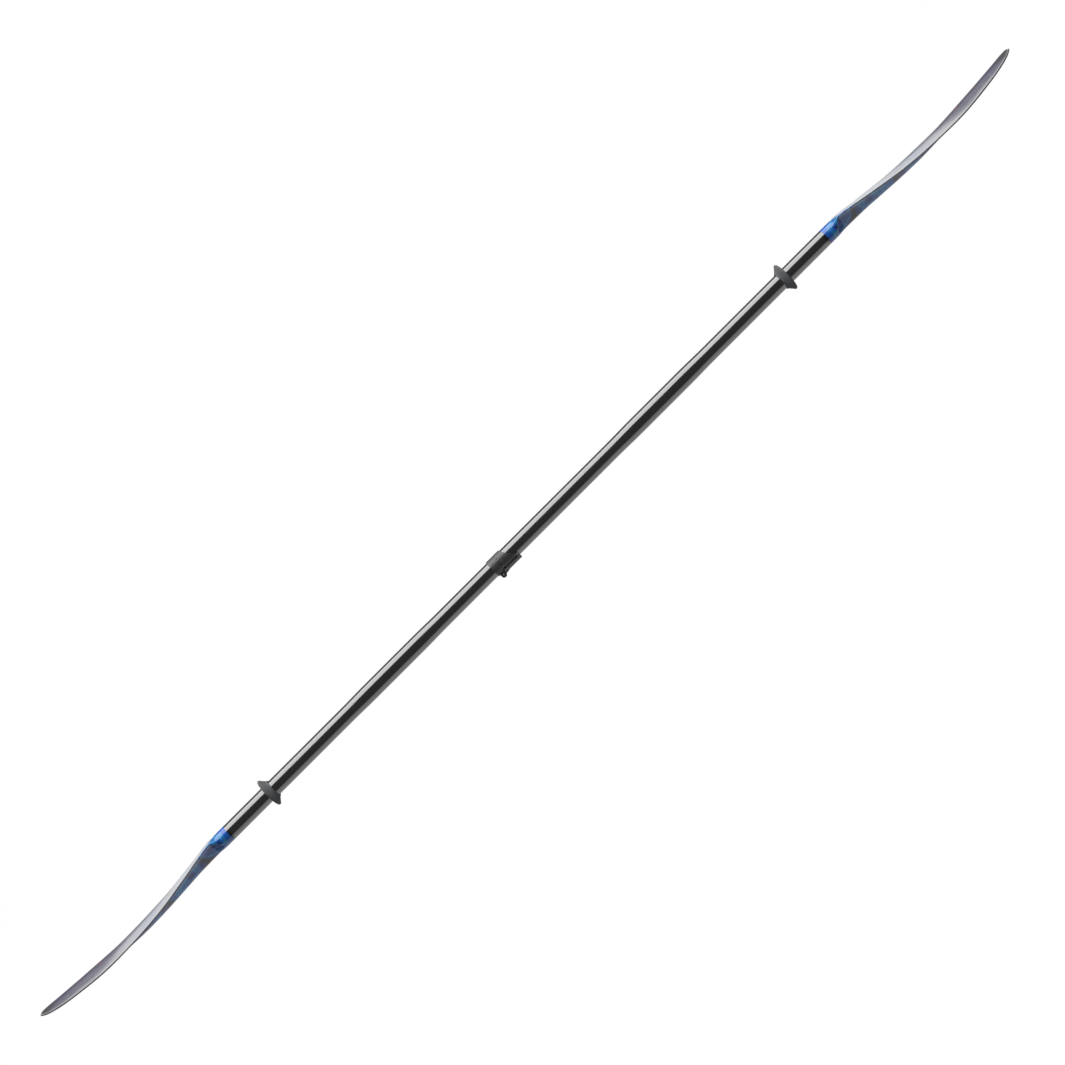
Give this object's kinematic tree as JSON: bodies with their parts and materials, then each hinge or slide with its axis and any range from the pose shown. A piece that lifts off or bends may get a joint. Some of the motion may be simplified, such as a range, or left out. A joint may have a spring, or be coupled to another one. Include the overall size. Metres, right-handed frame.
{
  "type": "kayak paddle",
  "caption": "Two-piece double-bladed kayak paddle with spooned asymmetric blades, sliding drip rings and a cam-lever clamp that frees its length and feather angle.",
  "frame": {"origin": "on the shaft's axis, midway between the blade tips with the shaft closed up", "axes": "+X along the shaft towards the blade on the ferrule half, +Z the side that the power faces look at, +Y the side of the blades' long edges"},
  "size_m": [2.3, 0.1872, 0.054],
  "materials": {
    "blade_laminate": "glossy fibreglass laminate with a blotched blue, teal and violet pattern",
    "blade_foam": "closed-cell foam",
    "shaft_carbon": "clear-coated black carbon and glass tube",
    "ferrule_composite": "ground and sealed glass tube",
    "nylon_black": "moulded glass-filled nylon",
    "nylon_grey": "moulded glass-filled nylon, satin",
    "nylon_natural": "turned bearing plastic",
    "stainless_steel": "stainless steel",
    "rubber_grey": "matt moulded rubber"
  },
  "bodies": {
    "left_half": {"left_blade_shell": "blade_laminate", "left_blade_core": "blade_foam", "left_blade_spigot": "nylon_black", "left_shaft_tube": "shaft_carbon", "left_bulkhead": "blade_foam", "clamp_collar": "nylon_grey", "pivot_pin": "stainless_steel", "lever_washers": "stainless_steel"},
    "clamp_lever": {"cam_lever": "nylon_grey"},
    "shoe": {"brake_shoe": "nylon_natural"},
    "guide": {"guide_bush": "nylon_natural"},
    "right_half": {"right_blade_shell": "blade_laminate", "right_blade_core": "blade_foam", "right_blade_spigot": "nylon_black", "right_shaft_tube": "shaft_carbon", "right_bulkhead": "blade_foam", "ferrule_tube": "ferrule_composite", "ferrule_cap": "nylon_black", "bush_retainer": "stainless_steel"},
    "left_ring": {"left_drip_ring": "rubber_grey"},
    "right_ring": {"right_drip_ring": "rubber_grey"}
  },
  "joints": [
    {"name": "length_slide", "type": "slide", "parent": "left_half", "child": "guide", "axis": [1, 0, 0], "range_m": [0, 0.15]},
    {"name": "feather_turn", "type": "hinge", "parent": "guide", "child": "right_half", "pos_m": [0, 0, 0], "axis": [1, 0, 0], "range_deg": [-90, 90]},
    {"name": "lever_swing", "type": "hinge", "parent": "left_half", "child": "clamp_lever", "pos_m": [-0.0742, 0, -0.019], "axis": [0, 1, 0], "range_deg": [0, 100]},
    {"name": "shoe_lift", "type": "slide", "parent": "left_half", "child": "shoe", "axis": [0, 0, -1], "range_m": [0, 0.00055]},
    {"name": "left_ring_slide", "type": "slide", "parent": "left_half", "child": "left_ring", "axis": [1, 0, 0], "range_m": [-0.085, 0.168]},
    {"name": "right_ring_slide", "type": "slide", "parent": "right_half", "child": "right_ring", "axis": [-1, 0, 0], "range_m": [-0.085, 0.168]}
  ],
  "couplings": [
    {"joint": "shoe_lift", "follows": "lever_swing", "m_per_rad": 0.0003}
  ]
}
